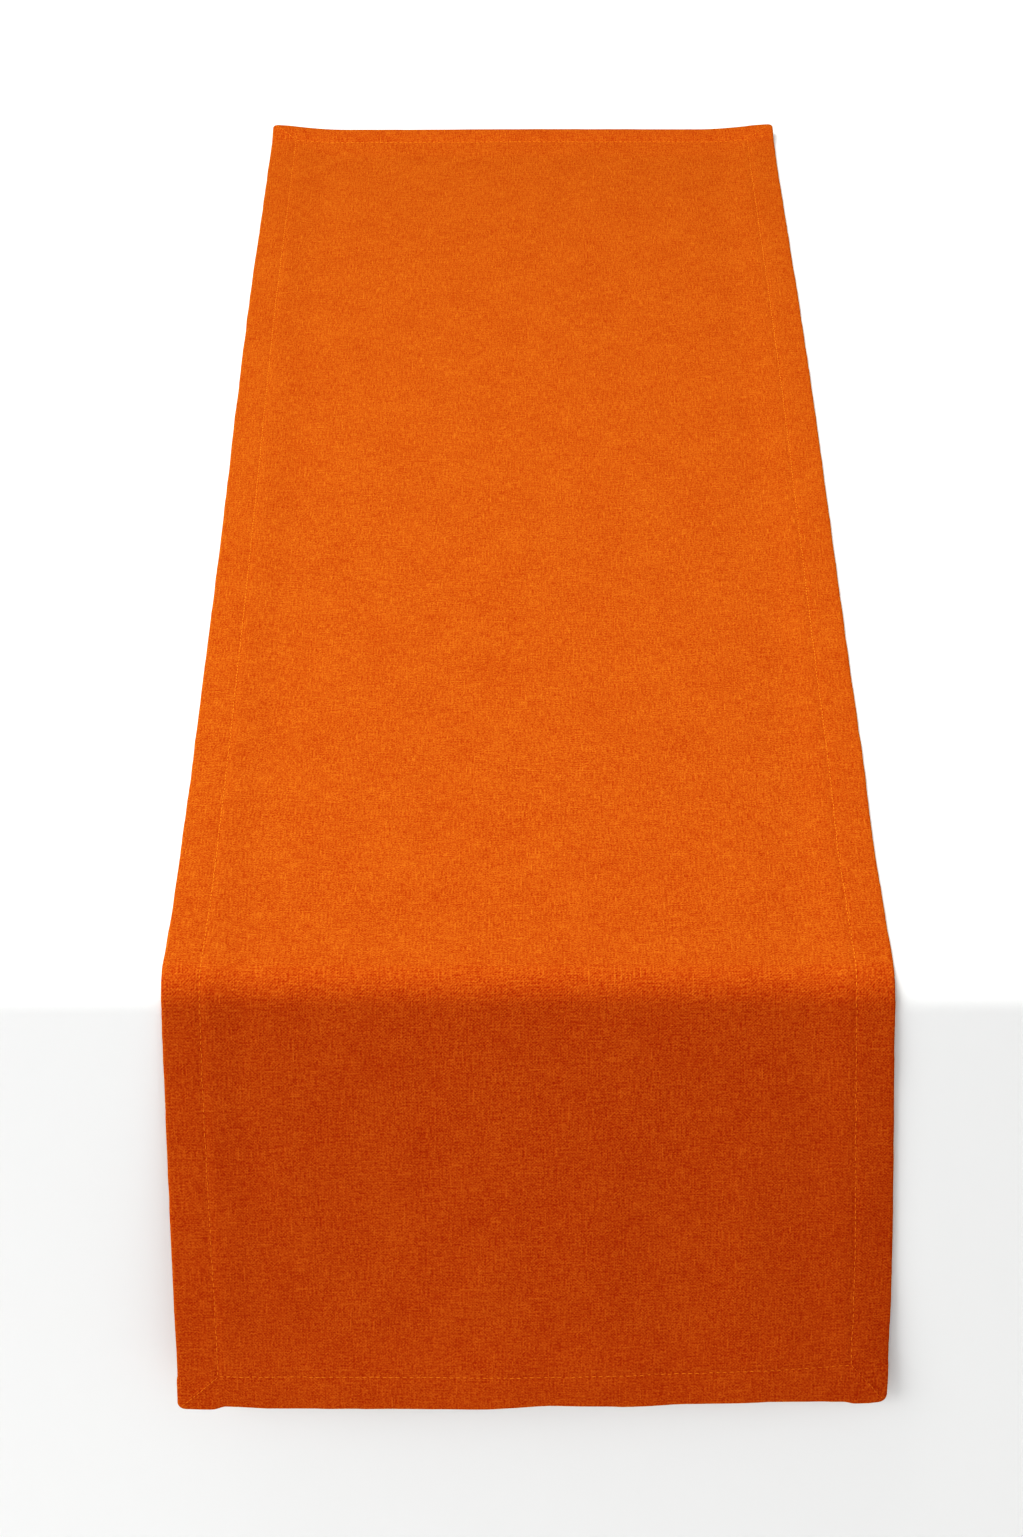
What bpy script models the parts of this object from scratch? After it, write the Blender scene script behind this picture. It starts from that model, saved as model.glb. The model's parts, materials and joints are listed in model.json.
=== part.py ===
"""A cloth table runner that lies along a table and hangs over its front edge.

The frame: the origin is the centre of the underside of the stretch that lies on the table,
+Y runs along the runner away from the drop, +X is across it and +Z is up. Lengths are in metres.
The real runner is one cloth with its edges turned twice under and stitched down. Here the single
layer, the turned hems and the threads are separate pieces, and the cloth is parted on the line
where it bends over the table's edge, because the drop can be lifted there.
"""

import math

import bmesh
import bpy
from mathutils import Matrix, Vector

# Driving dimensions
FLAT_LENGTH = 1.500
WIDTH = 0.400
DROP_RUN = 0.253
CLOTH = 0.0008
HEM_LAYERS = 3
HEM_WIDTH = 0.0225
STITCH_INSET = 0.0210
THREAD_WIDTH = 0.0007
THREAD_HEIGHT = 0.0004
MITRE_SLOT = 0.0012
BEND_RADIUS = 0.0176
DROP_TILT = math.radians(7.5)
GAP = 0.0003
ARC_STEPS = 6

# Worked out from them
HEM = HEM_LAYERS * CLOTH
GROOVE_WIDTH = THREAD_WIDTH + 2 * GAP
GROOVE_DEPTH = THREAD_HEIGHT + GAP
BEND = math.pi / 2 - DROP_TILT
BEND_LENGTH = BEND * (BEND_RADIUS + HEM / 2)
TOP_RUN = FLAT_LENGTH - DROP_RUN - BEND_LENGTH
FAR_EDGE = TOP_RUN / 2
BEND_START = -TOP_RUN / 2
BEND_CENTRE = Vector((0, BEND_START, -BEND_RADIUS))
HALF_WIDTH = WIDTH / 2
MITRE_SETBACK = MITRE_SLOT / math.sqrt(2)
PART_ANGLE = GAP / 2 / (BEND_RADIUS + HEM)

CLOTH_ORANGE = (0.476, 0.080, 0.013, 1)
HEM_ORANGE = (0.465, 0.078, 0.013, 1)
THREAD_PEACH = (0.85, 0.22, 0.022, 1)
BOBBIN_PEACH = (0.68, 0.17, 0.020, 1)


def bent(angle):
    """The turn that carries a cross-section from the table's top round the bend by this angle."""
    turn = Matrix.Rotation(angle, 4, "X")
    return Matrix.Translation(BEND_CENTRE) @ turn @ Matrix.Translation(-BEND_CENTRE)


# The hinge line is on the hems' outer face, half way round the bend.
FOLD_LINE = bent(BEND / 2) @ Vector((0, BEND_START, HEM))

# Each end of the runner has a frame of its own: +Y leaves the cloth across its end edge and +Z leaves
# its upper face.
FAR_FRAME = Matrix.Translation((0, FAR_EDGE, 0))
NEAR_FRAME = (
    bent(BEND)
    @ Matrix.Translation((0, BEND_START - DROP_RUN, 0))
    @ Matrix.Rotation(math.pi, 4, "Z")
)


def cloth_material(name, color, roughness):
    """A matt finish."""
    material = bpy.data.materials.new(name)
    material.use_nodes = True
    shader = material.node_tree.nodes["Principled BSDF"]
    shader.inputs["Base Color"].default_value = color
    shader.inputs["Roughness"].default_value = roughness
    shader.inputs["Metallic"].default_value = 0.0
    return material


def add_piece(bm, name, holder, material):
    """Makes a named object of the shape, with its origin at its holder."""
    bmesh.ops.recalc_face_normals(bm, faces=bm.faces)
    mesh = bpy.data.meshes.new(name)
    bm.to_mesh(mesh)
    bm.free()
    mesh.transform(Matrix.Translation(-holder.location))
    mesh.shade_smooth()
    mesh.set_sharp_from_angle(angle=math.radians(30))
    mesh.materials.append(material)
    piece = bpy.data.objects.new(name, mesh)
    piece.parent = holder
    bpy.context.collection.objects.link(piece)
    return piece


def holder_at(name, place):
    """An empty that carries the pieces of one moving body."""
    holder = bpy.data.objects.new(name, None)
    holder.location = place
    holder.empty_display_size = 0.05
    bpy.context.collection.objects.link(holder)
    return holder


def outline_face(bm, points):
    """One face through these points."""
    return bm.faces.new([bm.verts.new(point) for point in points])


def extrude_end(bm, face):
    """Extrudes a face in place and gives its new copy and that copy's points.

    The first face stays as the solid's cap, and any later one would be inside the solid."""
    is_cap = len(face.edges[0].link_faces) == 1
    made = bmesh.ops.extrude_face_region(bm, geom=[face])["geom"]
    if not is_cap:
        bmesh.ops.delete(bm, geom=[face], context="FACES_ONLY")
    end = next(item for item in made if isinstance(item, bmesh.types.BMFace))
    return end, [item for item in made if isinstance(item, bmesh.types.BMVert)]


def run_to(bm, face, move):
    """Extrudes a face straight on, each point by what move gives for it."""
    end, points = extrude_end(bm, face)
    for point in points:
        point.co += move(point.co)
    return end


def turn_by(bm, face, angle):
    """Extrudes a face round part of the bend."""
    for _ in range(ARC_STEPS):
        face, points = extrude_end(bm, face)
        bmesh.ops.transform(bm, matrix=bent(angle / ARC_STEPS), verts=points)
    return face


def hem_outline(inner, outer, place_of):
    """A hem's cross-section between two distances from the edge, with a groove for each thread.

    Each distance becomes a place by place_of, which gives a point at that distance and height."""
    near = STITCH_INSET - GROOVE_WIDTH / 2
    far = STITCH_INSET + GROOVE_WIDTH / 2
    top = [(outer, HEM), (near, HEM), (near, HEM - GROOVE_DEPTH)]
    top += [(far, HEM - GROOVE_DEPTH), (far, HEM), (inner, HEM)]
    bottom = [(inner, 0), (far, 0), (far, GROOVE_DEPTH)]
    bottom += [(near, GROOVE_DEPTH), (near, 0), (outer, 0)]
    return [place_of(distance, height) for distance, height in top + bottom]


def strip_outline(inner, outer, low, high, place_of):
    """A plain rectangular cross-section between two distances from the edge."""
    corners = [(outer, high), (inner, high), (inner, low), (outer, low)]
    return [place_of(distance, height) for distance, height in corners]


def upper_run(bm, outline, setback):
    """From the far end to half way round the bend. The far end is mitred when it has a setback."""
    face = outline_face(bm, outline)
    for point in face.verts:
        point.co.y = FAR_EDGE - setback(HALF_WIDTH - abs(point.co.x))
    face = run_to(bm, face, lambda place: Vector((0, BEND_START - place.y, 0)))
    turn_by(bm, face, BEND / 2 - PART_ANGLE)


def lower_run(bm, outline, setback):
    """From half way round the bend to the near end, which is mitred when it has a setback."""
    face = outline_face(bm, outline)
    for point in face.verts:
        point.co = bent(BEND / 2 + PART_ANGLE) @ point.co
    face = turn_by(bm, face, BEND / 2 - PART_ANGLE)
    along = (NEAR_FRAME.to_3x3() @ Vector((0, 1, 0))).normalized()
    run_to(bm, face, lambda place: along * (DROP_RUN - setback(HALF_WIDTH - abs(place.x))))


def along_side(side):
    """Places a cross-section's point at a distance from one side edge, where the bend starts."""
    return lambda distance, height: Vector((side * (HALF_WIDTH - distance), BEND_START, height))


def mitred(distance):
    """How far a side hem stops short of the end edge at this distance from the side edge."""
    return distance + MITRE_SETBACK


def plain_end(_):
    """The single layer stops at the end hem."""
    return HEM_WIDTH + GAP


def thread_end(_):
    """A side's thread runs until it meets the end hem's line of stitches."""
    return STITCH_INSET + MITRE_SLOT


def make_panels(halves, material):
    """The single layer of cloth inside the hems, on the table and in the drop."""
    inner = HALF_WIDTH - HEM_WIDTH - GAP
    corners = ((-inner, 0), (inner, 0), (inner, CLOTH), (-inner, CLOTH))
    across = [Vector((x, BEND_START, z)) for x, z in corners]
    for name, run, holder in (("panel_top", *halves[0]), ("panel_drop", *halves[1])):
        bm = bmesh.new()
        run(bm, across, plain_end)
        add_piece(bm, name, holder, material)


def make_side_hems(halves, material):
    """The turned hem along each side."""
    for side, side_name in ((-1, "left"), (1, "right")):
        outline = hem_outline(HEM_WIDTH, 0, along_side(side))
        for (run, holder), place in zip(halves, ("top", "drop")):
            bm = bmesh.new()
            run(bm, outline, mitred)
            add_piece(bm, f"hem_{side_name}_{place}", holder, material)


def make_side_threads(halves, name, low, material):
    """One side's line of stitches on one face, as a thin ribbon in its groove."""
    edges = (STITCH_INSET + THREAD_WIDTH / 2, STITCH_INSET - THREAD_WIDTH / 2)
    for side, side_name in ((-1, "left"), (1, "right")):
        outline = strip_outline(*edges, low, low + THREAD_HEIGHT, along_side(side))
        for (run, holder), place in zip(halves, ("top", "drop")):
            bm = bmesh.new()
            run(bm, outline, thread_end)
            add_piece(bm, f"{name}_{side_name}_{place}", holder, material)


def across_end(bm, frame, outline, half_length):
    """A strip across an end of the runner, whose half length depends on the distance from the edge."""
    face = outline_face(bm, outline)
    for point in face.verts:
        point.co.x = -half_length(-point.co.y)
    run_to(bm, face, lambda place: Vector((-2 * place.x, 0, 0)))
    bmesh.ops.transform(bm, matrix=frame, verts=bm.verts)


def on_end(distance, height):
    """Places a cross-section's point at a distance from an end edge, in that end's frame."""
    return Vector((0, -distance, height))


def make_end(name, frame, holder, hem_material, thread_material, bobbin_material):
    """The hem across one end, with its two threads and the seams of its two mitred corners."""
    bm = bmesh.new()
    outline = hem_outline(HEM_WIDTH, 0, on_end)
    across_end(bm, frame, outline, lambda distance: HALF_WIDTH - distance - MITRE_SETBACK)
    add_piece(bm, f"hem_{name}", holder, hem_material)

    edges = (STITCH_INSET + THREAD_WIDTH / 2, STITCH_INSET - THREAD_WIDTH / 2)
    threads = (
        ("topstitch", HEM - THREAD_HEIGHT, thread_material),
        ("bobbin", 0, bobbin_material),
    )
    for thread, low, material in threads:
        bm = bmesh.new()
        outline = strip_outline(*edges, low, low + THREAD_HEIGHT, on_end)
        across_end(bm, frame, outline, lambda _: HALF_WIDTH - STITCH_INSET - 2 * MITRE_SLOT)
        add_piece(bm, f"{thread}_{name}", holder, material)

    for side in (-1, 1):
        bm = bmesh.new()
        make_mitre_thread(bm, frame, side)
        is_left = (frame.to_3x3() @ Vector((side, 0, 0))).x < 0
        add_piece(bm, f"mitre_seam_{name}_{'left' if is_left else 'right'}", holder, thread_material)


def make_mitre_thread(bm, frame, side):
    """The seam thread in a mitred corner, between the two hems, half way through their thickness."""
    start = 2 * MITRE_SLOT
    reach = (STITCH_INSET - GROOVE_WIDTH - start) * math.sqrt(2)
    bmesh.ops.create_cube(bm, size=1)
    size = Matrix.Diagonal((THREAD_HEIGHT, reach, THREAD_HEIGHT, 1))
    turned = Matrix.Rotation(-side * math.pi / 4, 4, "Z") @ Matrix.Translation((0, -reach / 2, 0))
    corner = Matrix.Translation((side * (HALF_WIDTH - start), -start, HEM / 2))
    bmesh.ops.transform(bm, matrix=frame @ corner @ turned @ size, verts=bm.verts)


def main():
    """Builds the runner."""
    for item in list(bpy.data.objects):
        bpy.data.objects.remove(item, do_unlink=True)

    panel = cloth_material("runner_panel", CLOTH_ORANGE, 0.85)
    hem = cloth_material("runner_hem", HEM_ORANGE, 0.85)
    thread = cloth_material("needle_thread", THREAD_PEACH, 0.6)
    bobbin = cloth_material("bobbin_thread", BOBBIN_PEACH, 0.6)

    table_part = holder_at("table_part", (0, 0, 0))
    drop_part = holder_at("drop_part", FOLD_LINE)
    halves = ((upper_run, table_part), (lower_run, drop_part))

    make_panels(halves, panel)
    make_side_hems(halves, hem)
    make_side_threads(halves, "topstitch", HEM - THREAD_HEIGHT, thread)
    make_side_threads(halves, "bobbin", 0, bobbin)
    make_end("far", FAR_FRAME, table_part, hem, thread, bobbin)
    make_end("near", NEAR_FRAME, drop_part, hem, thread, bobbin)


main()
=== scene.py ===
"""The looks of a cloth table runner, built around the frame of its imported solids.

The runner is one cloth whose edges are turned under twice and stitched down. Every soft piece is
first made flat, in the cloth's own measures, and then carried to where it lies and hangs:

- across: from the middle line, positive towards +X
- along: from the far edge, over the table, round the bend and down the drop
- height: from the side that lies on the table

Lengths are in metres.
"""

from __future__ import annotations

import json
import logging
import math
import random
from dataclasses import dataclass, field
from enum import Enum

import bmesh
import bpy
from mathutils import Euler, Matrix, Vector, noise

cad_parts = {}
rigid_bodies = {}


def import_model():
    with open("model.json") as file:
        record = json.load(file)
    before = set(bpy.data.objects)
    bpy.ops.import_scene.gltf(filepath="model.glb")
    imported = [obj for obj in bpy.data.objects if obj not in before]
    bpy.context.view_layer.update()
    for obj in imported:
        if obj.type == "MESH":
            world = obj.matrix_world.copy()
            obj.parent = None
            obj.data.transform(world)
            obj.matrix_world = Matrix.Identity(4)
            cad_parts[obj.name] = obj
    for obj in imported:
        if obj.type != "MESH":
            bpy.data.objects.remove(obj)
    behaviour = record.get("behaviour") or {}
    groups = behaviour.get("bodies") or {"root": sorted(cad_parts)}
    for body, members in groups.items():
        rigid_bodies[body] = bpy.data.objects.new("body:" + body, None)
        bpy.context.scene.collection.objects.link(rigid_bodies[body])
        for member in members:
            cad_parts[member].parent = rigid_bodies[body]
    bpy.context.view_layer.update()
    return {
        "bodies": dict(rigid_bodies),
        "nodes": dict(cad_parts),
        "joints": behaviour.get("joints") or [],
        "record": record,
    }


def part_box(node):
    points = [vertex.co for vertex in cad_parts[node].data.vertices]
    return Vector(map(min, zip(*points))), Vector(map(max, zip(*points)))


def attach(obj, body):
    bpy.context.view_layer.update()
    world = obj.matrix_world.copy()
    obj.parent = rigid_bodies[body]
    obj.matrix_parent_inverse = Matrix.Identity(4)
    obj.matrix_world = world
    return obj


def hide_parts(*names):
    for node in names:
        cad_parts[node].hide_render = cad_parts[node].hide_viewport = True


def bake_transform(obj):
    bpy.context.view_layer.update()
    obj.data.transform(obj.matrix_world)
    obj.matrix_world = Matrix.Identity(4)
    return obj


LOG = logging.getLogger("runner")
MM = 0.001
LIE_MAP = "cloth_lie"
NEEDLE_SEED = 11
BOBBIN_SEED = 31
MITRE_SEED = 51


class Edge(Enum):
    """The runner's four edges."""

    FAR = "far"
    NEAR = "near"
    LEFT = "left"
    RIGHT = "right"

    @property
    def is_side(self) -> bool:
        """Whether the edge runs the runner's length."""
        return self in (Edge.LEFT, Edge.RIGHT)


class Side(Enum):
    """The cloth's two faces."""

    UPPER = "topstitch"
    UNDER = "bobbin"


def ease(value: float) -> float:
    """Gives a smooth step from 0 to 1.

    Args:
        value: where to read it, clamped to between 0 and 1.

    Returns:
        The step's value there.
    """
    value = min(max(value, 0.0), 1.0)
    return value * value * (3 - 2 * value)


@dataclass(frozen=True)
class Swell:
    """A soft rise along a line, which eases in, peaks and eases out."""

    peak: float
    before: float
    after: float
    size: float

    def at(self, place: float) -> float:
        """Gives the rise at a place on the line.

        Args:
            place: a distance along the line.

        Returns:
            The rise there, 0 outside the swell.
        """
        reach = self.before if place < self.peak else self.after
        return self.size * ease(1 - abs(place - self.peak) / reach)


def swelled(swells: tuple[Swell, ...], place: float) -> float:
    """Adds up several swells at one place.

    Args:
        swells: the swells on one line.
        place: a distance along that line.

    Returns:
        Their sum there.
    """
    return sum(swell.at(place) for swell in swells)


def ripple(across: float, along: float, tightness: tuple[float, float], layer: float) -> float:
    """Reads a smooth unevenness of the cloth.

    Args:
        across: a flat place, across.
        along: the same place, along.
        tightness: how many ripples fit in a metre, across and along.
        layer: which one of many unlike patterns is read.

    Returns:
        The unevenness there, from about -1 to 1.
    """
    return noise.noise(Vector((across * tightness[0], along * tightness[1], layer)))


@dataclass(frozen=True)
class RunnerSizes:
    """The runner's measures, read from the frame."""

    half_width: float
    far_edge: float
    cloth: float
    hem: float
    hem_width: float
    bend: float
    bend_radius: float
    drop_run: float
    top_body: str
    drop_body: str

    @classmethod
    def from_frame(cls, frame: dict) -> RunnerSizes:
        """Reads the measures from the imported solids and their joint.

        Args:
            frame: what loading the frame gave.

        Returns:
            The measures.
        """
        joint = frame["joints"][0]
        side_low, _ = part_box("hem_left_top")
        hem_low, hem_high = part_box("hem_far")
        bottom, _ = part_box("hem_near")
        bend = math.radians(joint["range_deg"][1])
        outer = (-hem_high.y - joint["pos_m"][1]) / math.sin(bend / 2)
        radius = outer - hem_high.z
        bend_low = radius * (1 - math.cos(bend))
        return cls(
            half_width=-side_low.x,
            far_edge=hem_high.y,
            cloth=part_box("panel_top")[1].z,
            hem=hem_high.z,
            hem_width=hem_high.y - hem_low.y,
            bend=bend,
            bend_radius=radius,
            drop_run=(-bottom.z - bend_low) / math.sin(bend),
            top_body=joint["parent"],
            drop_body=joint["child"],
        )

    @property
    def top_run(self) -> float:
        """The length that lies on the table."""
        return 2 * self.far_edge

    @property
    def bend_run(self) -> float:
        """The length of the bend, along the middle of the hem's thickness."""
        return self.bend * (self.bend_radius + self.hem / 2)

    @property
    def length(self) -> float:
        """The whole length, laid flat."""
        return self.top_run + self.bend_run + self.drop_run

    @property
    def drop_start(self) -> float:
        """Where along the cloth the straight drop starts."""
        return self.top_run + self.bend_run


@dataclass
class Drape:
    """Carries points of the flat cloth to where it lies on the table and hangs over its edge."""

    sizes: RunnerSizes
    corner_radius: float = 4.4 * MM
    left_line: tuple[Swell, ...] = (
        Swell(0.0, 0.1, 0.12, -0.8 * MM),
        Swell(0.36, 0.36, 0.60, 0.6 * MM),
        Swell(0.36, 0.24, 0.40, 0.9 * MM),
        Swell(1.02, 0.16, 0.10, -0.4 * MM),
        Swell(1.10, 0.35, 0.12, 0.6 * MM),
        Swell(1.243, 0.125, 0.32, 2.6 * MM),
        Swell(1.5, 0.30, 0.1, 0.9 * MM),
    )
    right_line: tuple[Swell, ...] = (
        Swell(0.44, 0.42, 0.48, 1.9 * MM),
        Swell(1.105, 0.12, 0.07, -1.0 * MM),
        Swell(1.24, 0.075, 0.15, 1.2 * MM),
        Swell(0.95, 0.60, 0.50, 0.7 * MM),
        Swell(1.39, 0.16, 0.2, 3.0 * MM),
        Swell(1.5, 0.27, 0.1, 5.6 * MM),
    )
    far_bow: float = 2.4 * MM
    far_curl: float = 3.2 * MM
    far_curl_reach: float = 27 * MM
    left_inset: tuple[Swell, ...] = (
        Swell(0.0, 0.1, 1.1, 1.9 * MM),
        Swell(1.5, 0.24, 0.1, -2.6 * MM),
    )
    corner_curl: float = 3.0 * MM
    corner_reach: float = 0.062
    near_longer: float = 4.0 * MM
    near_dips: tuple[Swell, ...] = (
        Swell(-0.1755, 6 * MM, 30 * MM, -1.0 * MM),
        Swell(0.1760, 28 * MM, 6 * MM, -0.5 * MM),
        Swell(-0.2, 0.05, 0.02, -0.5 * MM),
        Swell(0.01, 0.045, 0.06, -2.1 * MM),
        Swell(0.085, 0.03, 0.04, -0.8 * MM),
        Swell(0.2, 0.07, 0.05, 5.4 * MM),
    )
    curl_recoil: float = 2.5
    right_longer: float = 1.5 * MM
    far_bow_reach: float = 0.25
    stitch_fade_start: float = 25 * MM
    stitch_fade: float = 60 * MM
    table_rise: float = 0.5 * MM
    table_ripple: float = 0.22 * MM
    fold_size: float = 0.7 * MM
    fold_drift: float = 1.4 * MM
    drop_ripple: float = 0.4 * MM
    right_tuck: float = 5.5 * MM
    left_tuck: float = 1.5 * MM
    right_curl_back: float = 13.0 * MM
    block_length: float = 0.9 * MM
    block_width: float = 0.5 * MM
    block_margin: float = 1 * MM
    side_block_ease: float = 7 * MM
    end_block_ease: float = 5 * MM
    fray: float = 0.16 * MM
    pose_step: float = 0.5 * MM

    def bent(self, along: float, height: float) -> Vector:
        """Places a point of the middle line on the table, in the bend or in the drop.

        Args:
            along: how far along the cloth it is.
            height: how far above the cloth's table side it is.

        Returns:
            The point, at the runner's middle.
        """
        sizes = self.sizes
        if along <= sizes.top_run:
            return Vector((0, sizes.far_edge - along, height))
        turn = min((along - sizes.top_run) / sizes.bend_run, 1.0) * sizes.bend
        out, up = math.sin(turn), math.cos(turn)
        reach = sizes.bend_radius + height
        place = Vector((0, -sizes.far_edge - reach * out, reach * up - sizes.bend_radius))
        return place + Vector((0, -up, -out)) * max(along - sizes.drop_start, 0.0)

    def outward(self, along: float) -> Vector:
        """Gives the direction that leaves the cloth's upper face.

        Args:
            along: how far along the cloth it is.

        Returns:
            The direction, of length 1.
        """
        sizes = self.sizes
        turn = min(max((along - sizes.top_run) / sizes.bend_run, 0.0), 1.0) * sizes.bend
        return Vector((0, -math.sin(turn), math.cos(turn)))

    def rounded(self, across: float, along: float) -> tuple[float, float]:
        """Rounds the cloth's four corners in plan.

        Args:
            across: a flat place, across.
            along: the same place, along.

        Returns:
            Both, moved in towards the middle near a corner.
        """
        sizes, radius = self.sizes, self.corner_radius
        middle = sizes.length / 2
        beyond_x = (abs(across) - sizes.half_width + radius) / radius
        beyond_y = (abs(along - middle) - middle + radius) / radius
        if beyond_x <= 0 or beyond_y <= 0:
            return across, along
        pull = radius * (1 - max(beyond_x, beyond_y) / math.hypot(beyond_x, beyond_y))
        across -= math.copysign(beyond_x * pull, across)
        along -= math.copysign(beyond_y * pull, along - middle)
        return across, along

    def outline_shift(self, across: float, along: float) -> tuple[float, float]:
        """Gives how far the runner's outline strays from a true rectangle.

        Args:
            across: a flat place, across.
            along: the same place, along.

        Returns:
            The move across and the move along.
        """
        sizes = self.sizes
        share = across / sizes.half_width
        to_side = sizes.half_width - abs(across)
        to_near = sizes.length - along
        at_near = ease(1 - to_near / sizes.hem_width)
        at_far = ease(1 - along / sizes.hem_width)

        left = -swelled(self.left_line, along) * max(-share, 0)
        right = swelled(self.right_line, along) * max(share, 0)
        wander = ripple(across, along, (25, 42), 3.7) * self.fray
        wander += ripple(across, along, (25, 160), 3.7) * self.fray * 0.5
        move_across = left + right + wander * 2 * abs(share) ** 6
        if share < 0:
            fade = ease(1 - (to_side - self.stitch_fade_start) / self.stitch_fade)
            by_stitches = min(to_side / sizes.hem_width, 1) * fade
            move_across -= swelled(self.left_inset, along) * by_stitches

        bow = self.far_bow * (1 - ease(1 - to_side / self.corner_reach))
        bow -= self.right_longer * ease((share + 0.6) / 0.6)
        bow += self.far_curl * self.curl_recoil
        move_along = bow * ease(1 - along / self.far_bow_reach)
        fall = max(along - sizes.drop_start, 0.0) / sizes.drop_run
        move_along += self.near_longer * fall * fall

        in_block = ease((sizes.hem_width + self.block_margin - to_side) / self.side_block_ease)
        move_along += (swelled(self.near_dips, across) + self.block_length * in_block) * at_near
        move_along -= 0.5 * self.block_length * in_block * at_far
        below_block = ease((sizes.hem_width - to_near) / self.end_block_ease)
        at_side = ease(1 - to_side / sizes.hem_width)
        move_across += math.copysign(self.block_width * below_block * at_side, across)

        edge_wander = ripple(across, 1.3, (48, 1), 8.1)
        edge_wander += 0.5 * ripple(across, 1.3, (170, 1), 8.1)
        move_along += edge_wander * self.fray * 2 * (at_near + at_far)
        return move_across, move_along

    def lift(self, across: float, along: float) -> float:
        """Gives how far the cloth stands off its plain lie, out of its upper face.

        Args:
            across: a flat place, across.
            along: the same place, along.

        Returns:
            The lift, never under 0 on the table.
        """
        sizes = self.sizes
        share = across / sizes.half_width
        to_corner = math.hypot(sizes.half_width - abs(across), along)
        curl = self.corner_curl * ease(1 - to_corner / self.corner_reach) ** 1.5
        curl += self.far_curl * ease(1 - along / self.far_curl_reach)
        slow = 0.5 + 0.5 * ripple(across, along, (9, 7), 0.4)
        quick = 0.5 + 0.5 * ripple(across, along, (24, 17), 5.2)
        on_table = self.table_rise * slow + self.table_ripple * quick

        fall = max(along - sizes.top_run, 0.0) / (sizes.length - sizes.top_run)
        folds = math.sin(across * 19 + 0.9 + 0.5 * math.sin(along * 14)) * self.fold_size
        folds += ripple(across, along, (16, 5), 2.2) * self.fold_drift
        tuck = -self.right_tuck * ease((share + 0.15) / 0.75)
        tuck -= self.left_tuck * ease((-share - 0.78) / 0.3)
        curl_back = -self.right_curl_back * max((share - 0.55) / 0.45, 0.0) ** 1.5
        hanging = folds * ease(fall * 1.4) + tuck * fall + curl_back * ease(fall * 1.1)
        hanging += self.drop_ripple * ripple(across, along, (40, 30), 1.1)
        share_down = ease(fall * 3)
        return curl + on_table * (1 - share_down) + hanging * share_down

    def place(self, across: float, along: float, height: float) -> Vector:
        """Carries one point of the flat cloth to the row frame.

        Args:
            across: its distance from the middle line.
            along: its distance from the far edge.
            height: its distance from the table side.

        Returns:
            The point in the row frame.
        """
        move_across, move_along = self.outline_shift(across, along)
        lift = self.lift(across, along)
        place = self.bent(along + move_along, height + lift)
        place.x = across + move_across
        return place

    def pose(self, across: float, along: float, height: float, turn: float) -> Matrix:
        """Gives the place and turn of a small thing that lies on the cloth.

        Args:
            across: its distance from the middle line.
            along: its distance from the far edge.
            height: its distance from the table side.
            turn: the angle of its own +Y, from the far direction towards the left.

        Returns:
            The matrix, whose +Z leaves the upper face.
        """
        step = self.pose_step
        middle = self.place(across, along, height)
        ahead = Vector((-math.sin(turn), -math.cos(turn)))
        beside = Vector((-ahead.y, ahead.x))
        y_axis = self.place(across + ahead.x * step, along + ahead.y * step, height) - middle
        x_near = self.place(across + beside.x * step, along + beside.y * step, height) - middle
        z_axis = x_near.cross(y_axis).normalized()
        if z_axis.dot(self.outward(along)) < 0:
            z_axis.negate()
        y_axis.normalize()
        axes = Matrix((y_axis.cross(z_axis), y_axis, z_axis)).transposed()
        return Matrix.Translation(middle) @ axes.to_4x4()


def spread(runs: list[tuple[float, int]]) -> list[float]:
    """Sets out stops along a line, closer together where a run asks for it.

    Args:
        runs: each run's length and how many steps it has.

    Returns:
        The stops, from 0 on.
    """
    stops = [0.0]
    for length, steps in runs:
        start = stops[-1]
        stops += [start + length * (step + 1) / steps for step in range(steps)]
    return stops


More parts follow.
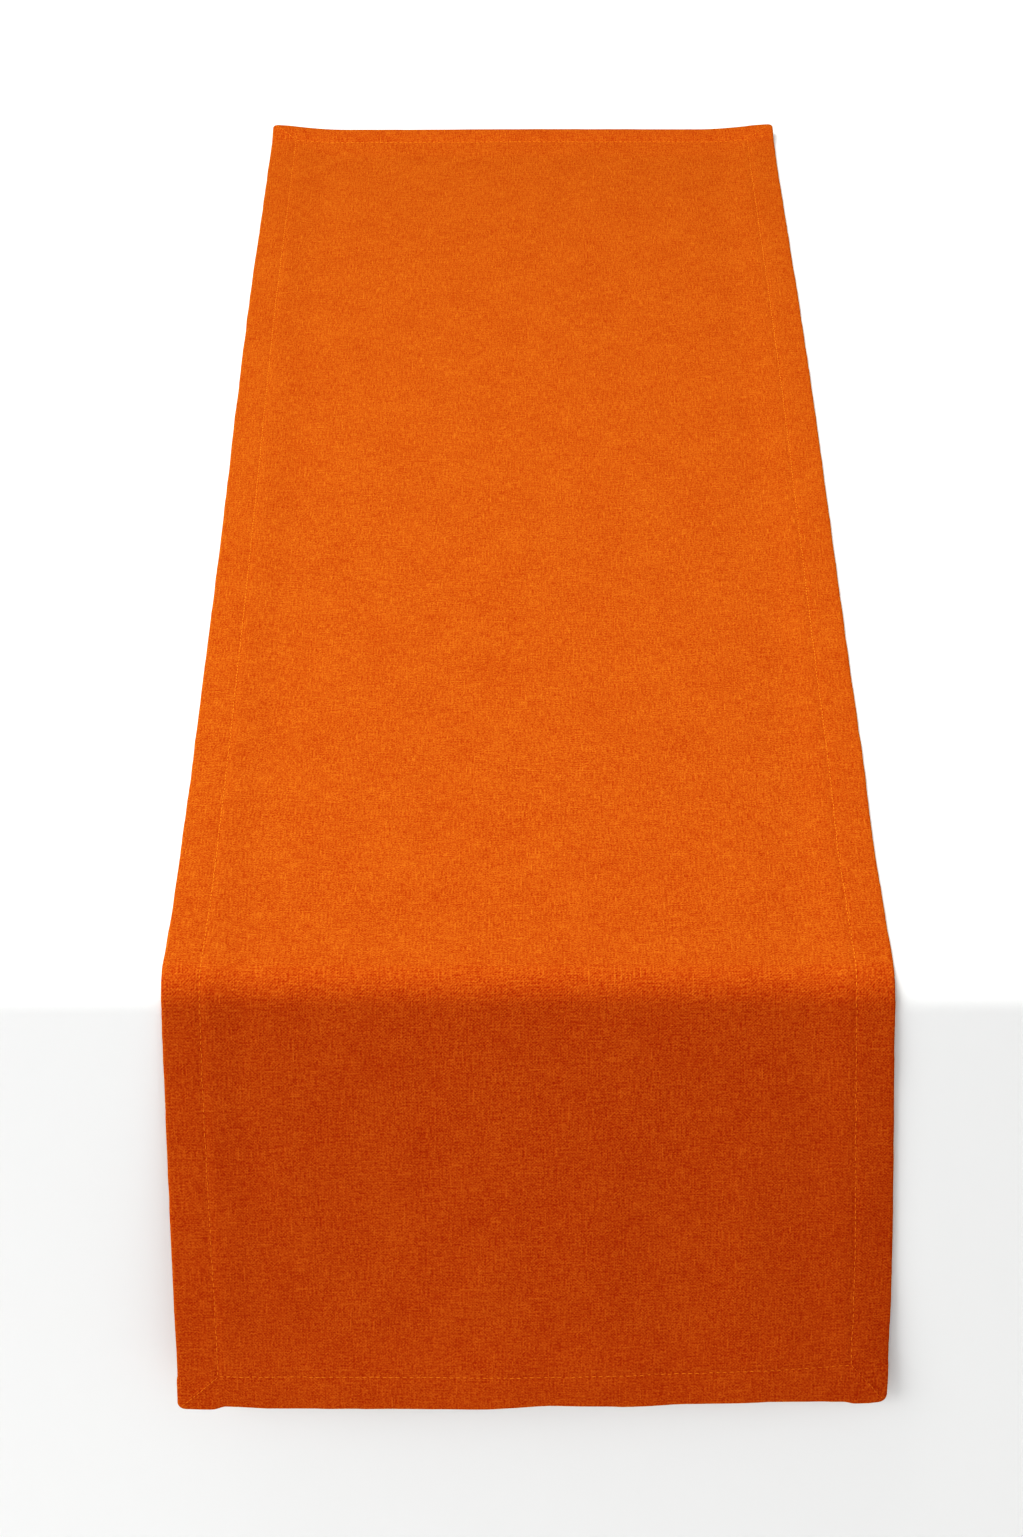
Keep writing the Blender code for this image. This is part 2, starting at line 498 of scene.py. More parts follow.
class Recipe:
    """A material's node tree, written one node at a time."""

    def __init__(self, name: str) -> None:
        """Starts a material.

        Args:
            name: the material's name.
        """
        self.material = bpy.data.materials.new(name)
        self.material.use_nodes = True
        self.tree = self.material.node_tree
        self.shader = self.tree.nodes["Principled BSDF"]

    def node(self, kind: str, inputs: dict | None = None, **settings: object) -> bpy.types.Node:
        """Adds a node.

        Args:
            kind: the node's type, without its ShaderNode prefix.
            inputs: what goes into its sockets, by name or number: a value, or another socket.
            **settings: the node's own properties.

        Returns:
            The node.
        """
        made = self.tree.nodes.new(f"ShaderNode{kind}")
        for name, value in settings.items():
            setattr(made, name, value)
        for name, value in (inputs or {}).items():
            self.feed(made, name, value)
        return made

    def feed(self, node: bpy.types.Node, name: str | int, value: object) -> None:
        """Links a socket into a node's input, or sets the input's value.

        Args:
            node: the node.
            name: its input, by name or number.
            value: another node's socket, or a value.
        """
        if isinstance(value, bpy.types.NodeSocket):
            self.tree.links.new(value, node.inputs[name])
        else:
            node.inputs[name].default_value = value

    def sum(self, operation: str, *terms: object) -> bpy.types.NodeSocket:
        """Adds a Math node and gives its result."""
        made = self.node("Math", dict(enumerate(terms)), operation=operation)
        return made.outputs[0]

    def noise(self, place: object, stretch: tuple, detail: float = 2.0) -> bpy.types.NodeSocket:
        """Adds a noise that is stretched in its own plane.

        Args:
            place: the socket of the coordinates.
            stretch: how many features fit in a metre, along each coordinate.
            detail: how many finer layers it has.

        Returns:
            The noise, about 0.5.
        """
        mapped = self.node("Mapping", {"Vector": place, "Scale": stretch})
        inputs = {"Vector": mapped.outputs[0], "Scale": 1.0, "Detail": detail, "Roughness": 0.55}
        return self.node("TexNoise", inputs).outputs[0]

    def finish_with(self, **values: object) -> None:
        """Sets the shader's own sockets, with _ for a blank in a socket's name."""
        for name, value in values.items():
            self.shader.inputs[name.replace("_", " ")].default_value = value


@dataclass(frozen=True)
class WovenCloth:
    """A slubby plain weave of thick and thin yarns, with a painted highlight on its slubs and
    painted light and shade on its weave.
    """

    name: str
    deep: tuple[float, float, float]
    light: tuple[float, float, float]
    yarn_pitch: float = 0.95 * MM
    slub_length: float = 11 * MM
    roughness: float = 0.9
    sheen: float = 0.12
    sheen_tint: tuple[float, float, float] = (1.0, 0.85, 0.10)
    relief: float = 0.25 * MM
    yarn_share: float = 0.85
    speckle_share: float = 2.0
    mottle_share: float = 0.35
    patch_share: float = 0.34
    weave_light_and_shade_share: float = 0.09
    deepest_tone: float = 1.715
    weave_relief: float = 0.35

    def make(self) -> bpy.types.Material:
        """Builds the material.

        Returns:
            The material, which follows the cloth by its own map.
        """
        recipe = Recipe(self.name)
        lie = recipe.node("UVMap", uv_map=LIE_MAP).outputs[0]
        quick, slow = 1 / self.yarn_pitch, 1 / self.slub_length
        warp = recipe.noise(lie, (quick, slow, 1), 1.0)
        weft = recipe.noise(lie, (slow, quick, 1), 1.0)
        warp_slub = recipe.noise(lie, (quick * 0.8, slow * 0.9, 1), 0.0)
        weft_slub = recipe.noise(lie, (slow * 0.9, quick * 0.8, 1), 0.0)
        speckle = recipe.noise(lie, (quick * 0.8, quick * 0.8, 1), 1.0)
        mottle = recipe.noise(lie, (quick * 0.3, quick * 0.3, 1), 1.0)
        patches = recipe.noise(lie, (30, 22, 1), 3.0)
        weave = self.weave(recipe, lie)

        yarns = recipe.sum("ADD", warp, weft)
        slubs = recipe.sum("MAXIMUM", warp_slub, weft_slub)
        # The slubs are thicker yarns, and their lighter colour is a painted highlight of their
        # relief.
        slub_inputs = {"Value": slubs, "From Min": 0.70, "From Max": 0.84, "To Max": 0.45}
        slub_highlight = recipe.node("MapRange", slub_inputs).outputs[0]
        tone = recipe.sum("MULTIPLY_ADD", yarns, self.yarn_share, slub_highlight)
        tone = recipe.sum("MULTIPLY_ADD", speckle, self.speckle_share, tone)
        tone = recipe.sum("MULTIPLY_ADD", mottle, self.mottle_share, tone)
        tone = recipe.sum("MULTIPLY_ADD", patches, self.patch_share, tone)
        # Painted light and shade: the weave's raised points are made lighter and its low points
        # darker in the base colour.
        tone = recipe.sum("MULTIPLY_ADD", weave, self.weave_light_and_shade_share, tone)
        tone = recipe.sum("SUBTRACT", tone, self.deepest_tone)
        mix = recipe.node("Mix", data_type="RGBA", clamp_factor=True)
        recipe.feed(mix, 0, tone)
        recipe.feed(mix, 6, (*self.deep, 1))
        recipe.feed(mix, 7, (*self.light, 1))
        recipe.feed(recipe.shader, "Base Color", mix.outputs[2])

        height = recipe.sum("MULTIPLY_ADD", weave, self.weave_relief, tone)
        bump_inputs = {"Height": height, "Strength": 0.8, "Distance": self.relief}
        bump = recipe.node("Bump", bump_inputs)
        recipe.feed(recipe.shader, "Normal", bump.outputs[0])
        recipe.finish_with(Roughness=self.roughness, Specular_IOR_Level=0.0)
        recipe.finish_with(Sheen_Weight=self.sheen, Sheen_Roughness=0.5)
        recipe.finish_with(Sheen_Tint=(*self.sheen_tint, 1))
        return recipe.material

    def weave(self, recipe: Recipe, lie: bpy.types.NodeSocket) -> bpy.types.NodeSocket:
        """Adds the over-and-under of a plain weave.

        Args:
            recipe: the material being written.
            lie: the socket of the cloth's own map.

        Returns:
            The height of the weave, from -1 to 1.
        """
        split = recipe.node("SeparateXYZ", {0: lie})
        turns = math.pi / self.yarn_pitch
        waves = [
            recipe.sum("SINE", recipe.sum("MULTIPLY", split.outputs[axis], turns))
            for axis in (0, 1)
        ]
        return recipe.sum("MULTIPLY", *waves)


@dataclass(frozen=True)
class Thread:
    """A twisted sewing thread."""

    name: str
    color: tuple[float, float, float]
    roughness: float = 0.6
    shade: float = 0.72
    relief: float = 0.08 * MM

    def make(self) -> bpy.types.Material:
        """Builds the material.

        Returns:
            The material, with its ply and its uneven dye.
        """
        recipe = Recipe(self.name)
        place = recipe.node("TexCoord").outputs["Object"]
        ply = recipe.noise(place, (3000, 3000, 3000), 1.0)
        dye = recipe.noise(place, (60, 60, 60), 2.0)
        tone = recipe.sum("MULTIPLY_ADD", dye, 0.8, recipe.sum("MULTIPLY", ply, 0.6))
        dark = tuple(channel * self.shade for channel in self.color)
        mix = recipe.node("Mix", data_type="RGBA", clamp_factor=True)
        recipe.feed(mix, 0, tone)
        recipe.feed(mix, 6, (*dark, 1))
        recipe.feed(mix, 7, (*self.color, 1))
        recipe.feed(recipe.shader, "Base Color", mix.outputs[2])
        bump = recipe.node("Bump", {"Height": ply, "Strength": 0.4, "Distance": self.relief})
        recipe.feed(recipe.shader, "Normal", bump.outputs[0])
        recipe.finish_with(Roughness=self.roughness, Specular_IOR_Level=0.12)
        return recipe.material


@dataclass(frozen=True)
class MattPaint:
    """The stage's plain matt paint."""

    name: str
    color: tuple[float, float, float]

    def make(self) -> bpy.types.Material:
        """Builds the material.

        Returns:
            The material.
        """
        recipe = Recipe(self.name)
        recipe.finish_with(Base_Color=(*self.color, 1), Roughness=0.9, Specular_IOR_Level=0.0)
        return recipe.material


def finished(bm: bmesh.types.BMesh, name: str, material: bpy.types.Material) -> bpy.types.Object:
    """Makes a smooth object of a shape.

    Args:
        bm: the shape, in the row frame. It is freed.
        name: the object's name.
        material: its finish.

    Returns:
        The object, which sits at the origin.
    """
    mesh = bpy.data.meshes.new(name)
    bm.to_mesh(mesh)
    bm.free()
    mesh.shade_smooth()
    mesh.materials.append(material)
    piece = bpy.data.objects.new(name, mesh)
    bpy.context.collection.objects.link(piece)
    LOG.info("%s: %d faces", name, len(mesh.polygons))
    return piece


@dataclass
class SoftPart:
    """What the cloth and its turned hems share: they are made flat and then carried to their lie."""

    sizes: RunnerSizes
    drape: Drape
    material: bpy.types.Material
    ply: float = 0.76 * MM
    edge_zone: float = 32 * MM
    edge_steps: int = 24
    bend_zone: float = 18 * MM
    top_steps: int = 172
    bend_steps: int = 26
    drop_steps: int = 40
    inner_steps: int = 58

    def along_stops(self) -> list[float]:
        """Sets out the stops along the runner, closest at the hems and in the bend.

        Returns:
            The stops, from 0 to the runner's length.
        """
        sizes = self.sizes
        fold = sizes.bend_run + 2 * self.bend_zone
        top = sizes.top_run - self.edge_zone - self.bend_zone
        drop = sizes.drop_run - self.edge_zone - self.bend_zone
        end = (self.edge_zone, self.edge_steps)
        runs = [end, (top, self.top_steps), (fold, self.bend_steps), (drop, self.drop_steps), end]
        return spread(runs)

    def across_stops(self) -> list[float]:
        """Sets out the stops across the runner, closest at the hems.

        Returns:
            The stops, from 0 to the runner's width.
        """
        end = (self.edge_zone, self.edge_steps)
        inner = 2 * (self.sizes.half_width - self.edge_zone)
        return spread([end, (inner, self.inner_steps), end])

    def inset(self, across: float, along: float) -> float:
        """Gives the distance from the nearest edge."""
        return min(self.sizes.half_width - abs(across), along, self.sizes.length - along)

    def thicken(self, bm: bmesh.types.BMesh) -> None:
        """Thickens a flat shape of the cloth's outer face towards its inside.

        Args:
            bm: the flat shape, open at its rims.
        """
        bmesh.ops.recalc_face_normals(bm, faces=bm.faces)
        highest = max(bm.faces, key=lambda face: face.calc_center_median().z)
        if highest.normal.z < 0:
            bmesh.ops.reverse_faces(bm, faces=bm.faces)
        bmesh.ops.solidify(bm, geom=bm.faces, thickness=self.ply)

    def carry(self, bm: bmesh.types.BMesh) -> None:
        """Marks each corner of the flat faces with its place, then carries the shape to its lie.

        Args:
            bm: the flat shape: across, along and height in x, y and z.
        """
        lie = bm.loops.layers.uv.new(LIE_MAP)
        for face in bm.faces:
            for loop in face.loops:
                loop[lie].uv = loop.vert.co.xy
        for vert in bm.verts:
            vert.co = self.drape.place(*vert.co)
        # The frame's Y runs against the distance along the cloth, so the shape is mirrored.
        bmesh.ops.reverse_faces(bm, faces=bm.faces)

    def across_bend(self, piece: bpy.types.Object) -> None:
        """Bakes a piece's placing into its mesh; where the bend starts and ends is worked out but
        not used.

        Args:
            piece: a piece that runs the runner's length.
        """
        sizes = self.sizes
        start = self.drape.bent(sizes.top_run, sizes.hem / 2)
        end = self.drape.bent(sizes.drop_start, sizes.hem / 2)
        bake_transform(piece)


@dataclass
class RunnerCloth(SoftPart):
    """The cloth's upper layer, with the fold of its edge and a lip turned under."""

    stitch_inset: float = 21 * MM
    stitch_dip: float = 0.28 * MM
    dip_width: float = 1.3 * MM
    shoulder: float = 0.6 * MM
    slope: float = 26 * MM
    mitre_ridge: float = 0.35 * MM
    mitre_width: float = 1.5 * MM
    mitre_tip: float = 1.2 * MM
    mitre_ease: float = 4 * MM
    crown: float = 0.15 * MM
    lip: float = 3.2 * MM
    fold_steps: int = 5

    def face_height(self, across: float, along: float) -> float:
        """Gives the height of the cloth's upper face.

        Args:
            across: a flat place, across.
            along: the same place, along.

        Returns:
            The height: over the two turned layers in a hem, and on the table inside it.
        """
        sizes = self.sizes
        inset = self.inset(across, along)
        down = ease((inset - sizes.hem_width + self.shoulder) / self.slope)
        height = sizes.hem + (sizes.cloth - sizes.hem) * down
        off_stitches = (inset - self.stitch_inset) / self.dip_width
        height -= self.stitch_dip * math.exp(-(off_stitches**2))
        from_side = sizes.half_width - abs(across)
        from_end = min(along, sizes.length - along)
        off_mitre = abs(from_side - from_end) / self.mitre_width
        in_corner = ease(3 - max(from_side, from_end) / self.stitch_inset * 2.6)
        in_corner *= ease((inset - self.mitre_tip) / self.mitre_ease)
        height += self.mitre_ridge * math.exp(-off_mitre * off_mitre) * in_corner
        return height + self.crown * math.sin(math.pi * min(inset / self.stitch_inset, 1.0))

    def build(self) -> bpy.types.Object:
        """Builds the upper layer, folds its edge under and carries it to its lie.

        Returns:
            The cloth.
        """
        sizes = self.sizes
        across_stops, along_stops = self.across_stops(), self.along_stops()
        columns, rows = len(across_stops) - 1, len(along_stops) - 1
        bm = bmesh.new()
        bmesh.ops.create_grid(bm, x_segments=columns, y_segments=rows, size=0.5)
        fold = sizes.hem / 2
        middle = sizes.length / 2
        shrink_across = 1 - fold / sizes.half_width
        shrink_along = 1 - fold / middle
        for vert in bm.verts:
            column = round((vert.co.x + 0.5) * columns)
            row = round((vert.co.y + 0.5) * rows)
            across = (across_stops[column] - sizes.half_width) * shrink_across
            along = middle + (along_stops[row] - middle) * shrink_along
            vert.co = (across, along, self.face_height(across, along))
        self.turn_under(bm)
        for vert in bm.verts:
            vert.co.xy = self.drape.rounded(vert.co.x, vert.co.y)
        self.thicken(bm)
        self.carry(bm)
        return finished(bm, "runner_cloth", self.material)

    def turn_under(self, bm: bmesh.types.BMesh) -> None:
        """Folds the flat cloth's outline under and gives it a short lip.

        Args:
            bm: the flat cloth.
        """
        sizes = self.sizes
        middle = Vector((0, sizes.length / 2, 0))
        radius = sizes.hem / 2
        turns = [math.pi * (step + 1) / self.fold_steps for step in range(self.fold_steps)]
        stops = [(radius * math.sin(turn), radius * (1 + math.cos(turn))) for turn in turns]
        stops += [(-self.lip / 2, 0.0), (-self.lip, 0.0)]
        ring = [edge for edge in bm.edges if edge.is_boundary]
        base = Vector((sizes.half_width - sizes.hem / 2, sizes.length / 2 - sizes.hem / 2))
        reach = base.copy()
        for out, rise in stops:
            made = bmesh.ops.extrude_edge_only(bm, edges=ring)["geom"]
            ring = [item for item in made if isinstance(item, bmesh.types.BMEdge)]
            verts = [item for item in made if isinstance(item, bmesh.types.BMVert)]
            wanted = base + Vector((out, out))
            scale = (wanted.x / reach.x, wanted.y / reach.y, 1)
            bmesh.ops.scale(bm, verts=verts, vec=scale, space=Matrix.Translation(-middle))
            for vert in verts:
                vert.co.z = rise
            reach = wanted

    def dress(self) -> None:
        """Builds the cloth, bakes its placing and hides the frame's panels that it stands in for."""
        piece = self.build()
        self.across_bend(piece)
        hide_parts("panel_top", "panel_drop")


@dataclass
class TurnedHem(SoftPart):
    """The two layers that are turned under along one edge, with mitred ends."""

    edge: Edge = Edge.FAR
    start: float = 3.8 * MM
    mitre_gap: float = 0.5 * MM
    fold_steps: int = 4
    run_steps: int = 6
    layer_share: float = 0.99
    clearance: float = 0.01 * MM

    def profile(self) -> list[tuple[float, float]]:
        """Draws the outer line of the two layers.

        Returns:
            The line's points, each an inset from the edge and a height.
        """
        sizes = self.sizes
        radius = sizes.cloth * self.layer_share
        centre = sizes.hem_width - radius
        low, steps = self.clearance, self.run_steps
        run = [self.start + (centre - self.start) * step / steps for step in range(steps + 1)]
        out = [(inset, low) for inset in run]
        turns = [math.pi * step / self.fold_steps for step in range(1, self.fold_steps)]
        fold = [
            (centre + radius * math.sin(turn), low + radius * (1 - math.cos(turn)))
            for turn in turns
        ]
        return out + fold + [(inset, low + 2 * radius) for inset in reversed(run)]

    def flat_place(self, share: float, inset: float, height: float) -> Vector:
        """Places a point of the profile at a share of the hem's own length.

        Args:
            share: from 0 at the hem's start to 1 at its end.
            inset: the distance from the edge, which also mitres the ends.
            height: the distance from the table side.

        Returns:
            The flat point: across, along and height.
        """
        sizes = self.sizes
        cut = inset + self.mitre_gap / 2
        if self.edge.is_side:
            side = -1 if self.edge is Edge.LEFT else 1
            run = cut + share * (sizes.length - 2 * cut)
            return Vector((side * (sizes.half_width - inset), run, height))
        run = (2 * share - 1) * (sizes.half_width - cut)
        along = inset if self.edge is Edge.FAR else sizes.length - inset
        return Vector((run, along, height))

    def build(self) -> bpy.types.Object:
        """Draws the profile along the edge, thickens it and carries it to its lie.

        Returns:
            The hem.
        """
        stops = self.along_stops() if self.edge.is_side else self.across_stops()
        shares = [stop / stops[-1] for stop in stops]
        profile = self.profile()
        bm = bmesh.new()
        verts = [bm.verts.new(self.flat_place(0.0, *point)) for point in profile]
        edges = [bm.edges.new(pair) for pair in zip(verts, verts[1:])]
        order = {vert: point for vert, point in zip(verts, profile)}
        for share in shares[1:]:
            before = dict(order)
            made = bmesh.ops.extrude_edge_only(bm, edges=edges)["geom"]
            edges = [item for item in made if isinstance(item, bmesh.types.BMEdge)]
            order = {}
            for vert in (item for item in made if isinstance(item, bmesh.types.BMVert)):
                old = next(edge.other_vert(vert) for edge in vert.link_edges
                           if edge.other_vert(vert) in before)
                order[vert] = before[old]
                vert.co = self.flat_place(share, *order[vert])
        self.thicken(bm)
        self.carry(bm)
        return finished(bm, f"turned_hem_{self.edge.value}", self.material)

    def dress(self) -> None:
        """Builds the hem, hangs an end hem on its body, and hides the frame's parts that it stands
        in for.
        """
        piece = self.build()
        name = self.edge.value
        if self.edge.is_side:
            self.across_bend(piece)
            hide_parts(f"hem_{name}_top", f"hem_{name}_drop")
        else:
            body = self.sizes.top_body if self.edge is Edge.FAR else self.sizes.drop_body
            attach(piece, body)
            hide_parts(f"hem_{name}")


class Needlework:
    """A shape that many small stitches are added to."""

    def __init__(self) -> None:
        """Starts with one plump stitch, a metre across and along +Y, as the pattern for all."""
        self.shape = bmesh.new()
        ball = bmesh.new()
        upright = Matrix.Rotation(math.pi / 2, 4, "X")
        bmesh.ops.create_uvsphere(ball, u_segments=6, v_segments=6, radius=0.5, matrix=upright)
        self.pattern = bpy.data.meshes.new("stitch_pattern")
        ball.to_mesh(self.pattern)
        ball.free()

    def add(self, pose: Matrix, length: float, thickness: float) -> None:
        """Adds one stitch.

        Args:
            pose: where it lies.
            length: its length.
            thickness: its width and height.
        """
        stitch = self.pattern.copy()
        stitch.transform(pose @ Matrix.Diagonal((thickness, length, thickness, 1)))
        self.shape.from_mesh(stitch)
        bpy.data.meshes.remove(stitch)

    def finished(self, name: str, material: bpy.types.Material) -> bpy.types.Object:
        """Makes one object of all the stitches.

        Args:
            name: the object's name.
            material: its finish.

        Returns:
            The object.
        """
        bpy.data.meshes.remove(self.pattern)
        return finished(self.shape, name, material)


@dataclass
class StitchRun:
    """One edge's stitches on one face of the cloth."""

    cloth: RunnerCloth
    edge: Edge
    side: Side
    material: bpy.types.Material
    seed: int
    pitch: float = 3.8 * MM
    length: float = 2.7 * MM
    thickness: float = 0.46 * MM
    wander: float = 0.12 * MM
    turn_wander: float = 0.05
    sink_mm: tuple[float, float, float] = (0.02, 0.30, 0.10)
    length_spread: tuple[float, float] = (0.86, 1.08)

    def stitch_places(self) -> list[tuple[float, float, float]]:
        """Gives each stitch's place and direction on the flat cloth.

        Returns:
            For each stitch: across, along, and its angle from the runner's length.
        """
        sizes, inset = self.cloth.sizes, self.cloth.stitch_inset
        if self.edge.is_side:
            side = -1 if self.edge is Edge.LEFT else 1
            run = sizes.length - 2 * inset
            count = round(run / self.pitch)
            return [
                (side * (sizes.half_width - inset), inset + run * (step + 0.5) / count, 0.0)
                for step in range(count)
            ]
        run = 2 * (sizes.half_width - inset)
        count = round(run / self.pitch)
        along = inset if self.edge is Edge.FAR else sizes.length - inset
        return [(run * ((step + 0.5) / count - 0.5), along, math.pi / 2) for step in range(count)]

    def build(self) -> bpy.types.Object:
        """Lays one slim spindle for each stitch, a little uneven as sewn ones are.

        Returns:
            The run of stitches.
        """
        dice = random.Random(self.seed)
        cloth, drape = self.cloth, self.cloth.drape
        work = Needlework()
        for across, along, turn in self.stitch_places():
            across += dice.gauss(0, self.wander)
            along += dice.gauss(0, self.wander)
            if self.side is Side.UPPER:
                sink = dice.triangular(*self.sink_mm) * MM
                height = cloth.face_height(across, along) + self.thickness / 2 - sink
            else:
                height = 0.0
            pose = drape.pose(across, along, height, turn + dice.gauss(0, self.turn_wander))
            work.add(pose, self.length * dice.uniform(*self.length_spread), self.thickness)
        return work.finished(f"{self.side.value}_stitches_{self.edge.value}", self.material)

    def dress(self) -> None:
        """Sews the run, hangs an end run on its body, and hides the frame's parts that it stands in
        for.
        """
        piece = self.build()
        sizes, name = self.cloth.sizes, f"{self.side.value}_{self.edge.value}"
        if self.edge.is_side:
            self.cloth.across_bend(piece)
            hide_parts(f"{name}_top", f"{name}_drop")
        else:
            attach(piece, sizes.top_body if self.edge is Edge.FAR else sizes.drop_body)
            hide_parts(name)


@dataclass
class MitreSeam:
    """The short stitches down one mitred corner."""

    cloth: RunnerCloth
    end: Edge
    side: Edge
    material: bpy.types.Material
    seed: int
    pitch: float = 2.6 * MM
    length: float = 2.2 * MM
    thickness: float = 0.36 * MM
    tip: float = 3.2 * MM
    stop_short: float = 1.2 * MM
    wander: float = 0.1 * MM
    turn_wander: float = 0.08
    sink_mm: tuple[float, float, float] = (0.06, 0.32, 0.20)

    def build(self) -> bpy.types.Object:
        """Lays the stitches from the corner's tip to where the two hems' stitches meet.

        Returns:
            The seam.
        """
        dice = random.Random(self.seed)
        cloth, sizes = self.cloth, self.cloth.sizes
        sign = -1 if self.side is Edge.LEFT else 1
        first, last = self.tip, cloth.stitch_inset - self.stop_short
        count = round((last - first) * math.sqrt(2) / self.pitch)
        slant = math.pi / 4 * (-sign if self.end is Edge.FAR else sign)
        work = Needlework()
        for step in range(count + 1):
            inset = first + (last - first) * step / count
            across = sign * (sizes.half_width - inset) + dice.gauss(0, self.wander)
            along = inset if self.end is Edge.FAR else sizes.length - inset
            sink = dice.triangular(*self.sink_mm) * MM
            height = cloth.face_height(across, along) + self.thickness / 2 - sink
            pose = cloth.drape.pose(across, along, height, slant + dice.gauss(0, self.turn_wander))
            work.add(pose, self.length, self.thickness)
        return work.finished(f"mitre_stitches_{self.end.value}_{self.side.value}", self.material)

    def dress(self) -> None:
        """Sews the seam, hangs it on its body, and hides the frame's seam that it stands in for."""
        piece = self.build()
        sizes = self.cloth.sizes
        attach(piece, sizes.top_body if self.end is Edge.FAR else sizes.drop_body)
        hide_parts(f"mitre_seam_{self.end.value}_{self.side.value}")


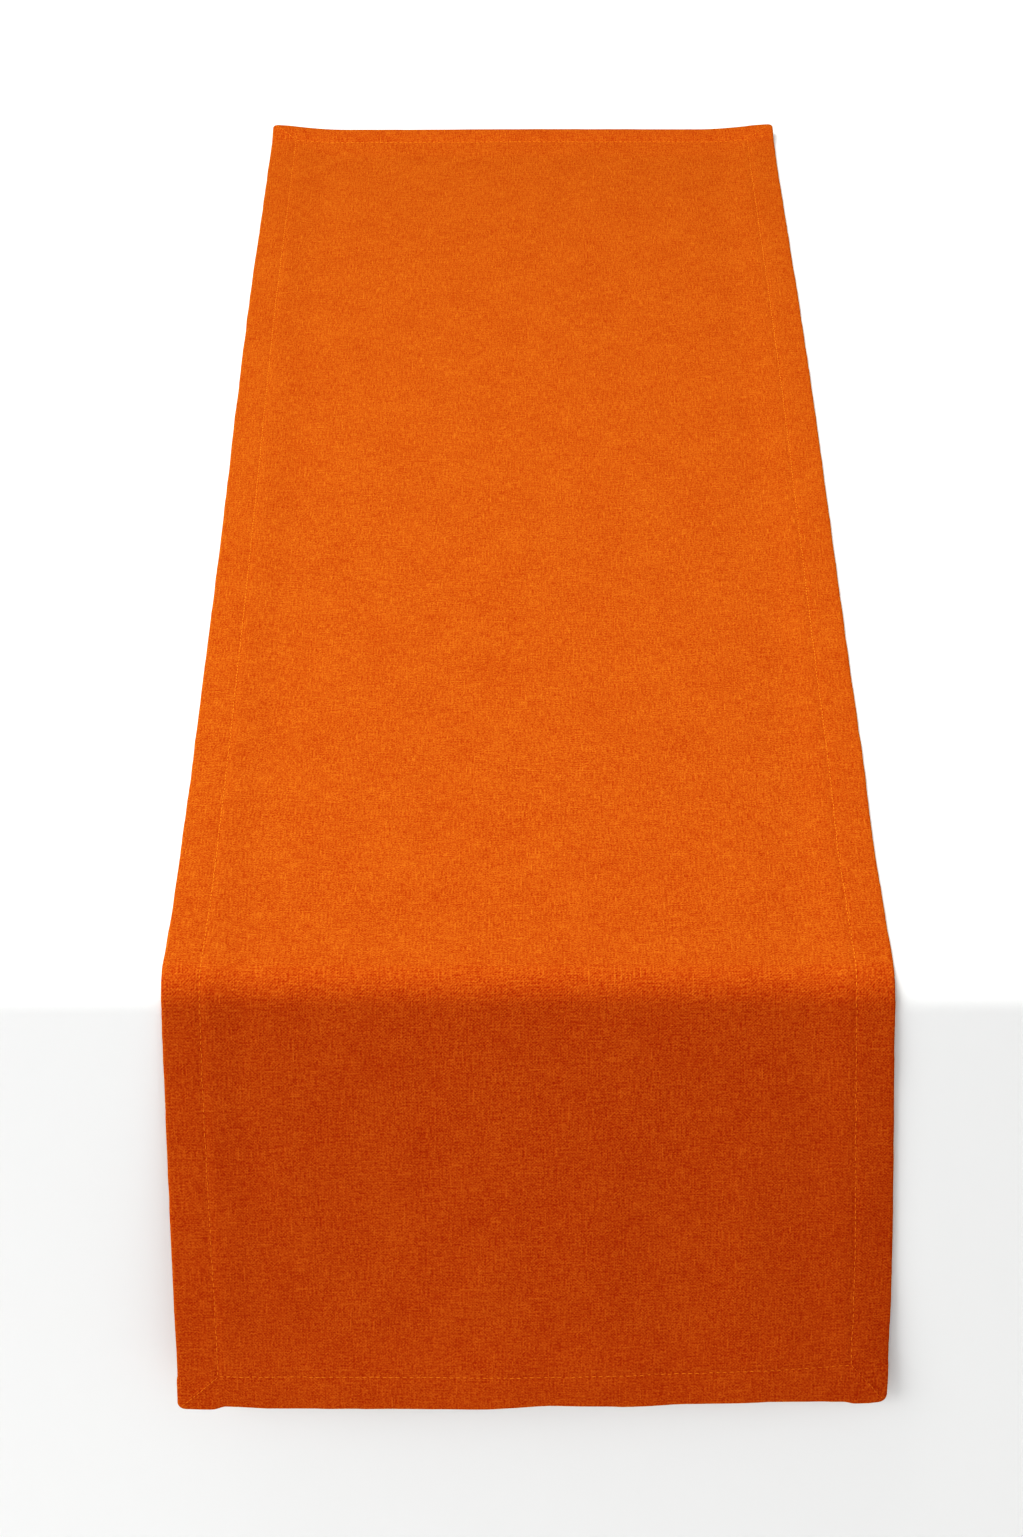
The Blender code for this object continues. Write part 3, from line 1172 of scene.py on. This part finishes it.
@dataclass
class Stage:
    """A white table block with a rounded front edge, the floor, the lights and the camera."""

    sizes: RunnerSizes
    half_width: float = 0.56
    beyond_far_edge: float = 0.42
    height: float = 0.72
    edge_radius: float = 20 * MM
    front_slant: float = 2.0
    front_clearance: float = 1.0 * MM
    settle: float = 0.45 * MM
    edge_segments: int = 12
    floor_size: float = 12
    table_white: tuple[float, float, float] = (0.89, 0.89, 0.89)
    floor_white: tuple[float, float, float] = (0.86, 0.86, 0.86)
    room_strength: float = 0.48
    overhead_color: tuple[float, float, float] = (1.0, 1.02, 0.98)
    overhead_size: float = 1.5
    overhead_power: float = 73
    front_left_size: float = 4.1
    front_left_power: float = 235
    lens: float = 98.6
    camera_across: float = -0.0113
    camera_back: float = 1.9475
    camera_height: float = 1.2766
    camera_down: float = 30.559
    camera_turn: float = -0.045
    toe_end: float = 0.2
    toe_power: float = 1.6

    def build_table(self) -> None:
        """Builds the table block under the runner."""
        sizes = self.sizes
        front = -sizes.far_edge - sizes.bend_radius + self.front_clearance
        back = sizes.far_edge + self.beyond_far_edge
        bm = bmesh.new()
        bmesh.ops.create_cube(bm, size=1)
        size = Matrix.Diagonal((2 * self.half_width, back - front, self.height, 1))
        middle = Vector((0, (front + back) / 2, -self.settle - self.height / 2))
        bmesh.ops.transform(bm, matrix=Matrix.Translation(middle) @ size, verts=bm.verts)
        edge = [item for item in bm.edges if all(
            vert.co.y < front + MM and vert.co.z > -self.height / 2 for vert in item.verts)]
        foot = self.height * math.tan(math.radians(self.front_slant))
        for vert in bm.verts:
            if vert.co.y < front + MM and vert.co.z < -self.height / 2:
                vert.co.y -= foot
        bmesh.ops.bevel(bm, geom=edge, offset=self.edge_radius,
                        segments=self.edge_segments, profile=0.5,
                        affect="EDGES", material=-1)
        paint = MattPaint("stage_white", self.table_white).make()
        table = finished(bm, "stage_table", paint)
        table.data.set_sharp_from_angle(angle=math.radians(30))

    def build_floor(self) -> None:
        """Builds the pale floor."""
        bm = bmesh.new()
        bmesh.ops.create_grid(bm, x_segments=1, y_segments=1, size=self.floor_size)
        bmesh.ops.translate(bm, verts=bm.verts, vec=(0, 0, -self.settle - self.height))
        paint = MattPaint("stage_floor", self.floor_white).make()
        finished(bm, "stage_floor", paint)

    def add_light(self, name: str, place: Vector, aim: Vector, size: float, power: float) -> None:
        """Adds one square soft light.

        Args:
            name: the light's name.
            place: where it is.
            aim: the point that it faces.
            size: its width.
            power: its power, in watts.
        """
        data = bpy.data.lights.new(name, "AREA")
        data.size, data.energy = size, power
        light = bpy.data.objects.new(name, data)
        light.location = place
        light.rotation_euler = (aim - place).to_track_quat("-Z", "Y").to_euler()
        bpy.context.collection.objects.link(light)

    def build_lights(self) -> None:
        """Sets a bright room, a broad light overhead and a weaker one at the front left."""
        world = bpy.data.worlds.new("stage_room")
        world.use_nodes = True
        backdrop = world.node_tree.nodes["Background"]
        backdrop.inputs["Color"].default_value = (1, 1, 1, 1)
        backdrop.inputs["Strength"].default_value = self.room_strength
        bpy.context.scene.world = world
        bend = Vector((0, -self.sizes.far_edge, 0))
        above, aim = Vector((-0.6, -0.2, 2.4)), Vector((0, -0.1, 0))
        self.add_light("overhead", above, aim, self.overhead_size, self.overhead_power)
        beside = bend + Vector((-4.9, -2.8, 1.7))
        self.add_light("front_left", beside, bend, self.front_left_size, self.front_left_power)
        bpy.data.lights["overhead"].color = self.overhead_color

    def build_camera(self) -> None:
        """Sets the camera in front of the drop, looking down along the runner."""
        data = bpy.data.cameras.new("camera")
        data.lens = self.lens
        data.clip_start = 0.05
        camera = bpy.data.objects.new("camera", data)
        back = -self.sizes.far_edge - self.camera_back
        camera.location = (self.camera_across, back, self.camera_height)
        tilt, turn = math.radians(90 - self.camera_down), math.radians(self.camera_turn)
        camera.rotation_euler = Euler((tilt, 0, turn))
        bpy.context.collection.objects.link(camera)
        bpy.context.scene.camera = camera

    def set_tones(self) -> None:
        """Gives dark tones a film's soft toe, and leaves middle and light tones as they are."""
        view = bpy.context.scene.view_settings
        view.view_transform = "Standard"
        view.use_curve_mapping = True
        points = view.curve_mapping.curves[3].points
        for share in (0.1, 0.25, 0.5, 0.75, 1.0, 1.6):
            power = self.toe_power if share < 1 else 1
            points.new(self.toe_end * share, self.toe_end * share**power)
        view.curve_mapping.update()

    def build(self) -> None:
        """Builds the whole stage."""
        self.build_table()
        self.build_floor()
        self.build_lights()
        self.build_camera()
        self.set_tones()


@dataclass
class Runner:
    """The whole table runner."""

    sizes: RunnerSizes
    cloth_finish: WovenCloth = field(
        default_factory=lambda: WovenCloth("linen", (0.352, 0.040, 0.006), (0.586, 0.117, 0.019))
    )
    needle_finish: Thread = field(
        default_factory=lambda: Thread("topstitching", (0.85, 0.22, 0.022))
    )
    bobbin_finish: Thread = field(
        default_factory=lambda: Thread("bobbin_stitching", (0.68, 0.17, 0.020))
    )

    def build(self) -> None:
        """Builds and dresses every piece."""
        drape = Drape(self.sizes)
        woven = self.cloth_finish.make()
        needle, bobbin = self.needle_finish.make(), self.bobbin_finish.make()
        cloth = RunnerCloth(self.sizes, drape, woven)
        cloth.dress()
        for edge in Edge:
            TurnedHem(self.sizes, drape, woven, edge=edge).dress()
        for count, edge in enumerate(Edge):
            StitchRun(cloth, edge, Side.UPPER, needle, seed=NEEDLE_SEED + count).dress()
            StitchRun(cloth, edge, Side.UNDER, bobbin, seed=BOBBIN_SEED + count).dress()
        for end in (Edge.FAR, Edge.NEAR):
            for side in (Edge.LEFT, Edge.RIGHT):
                seed = MITRE_SEED + 2 * (end is Edge.NEAR) + (side is Edge.RIGHT)
                MitreSeam(cloth, end, side, needle, seed=seed).dress()


def main() -> None:
    """Builds the runner and its stage around the frame."""
    logging.basicConfig(level=logging.INFO, format="%(name)s: %(message)s")
    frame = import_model()
    sizes = RunnerSizes.from_frame(frame)
    LOG.info("%s", sizes)
    Stage(sizes).build()
    Runner(sizes).build()


if __name__ == "__main__":
    main()
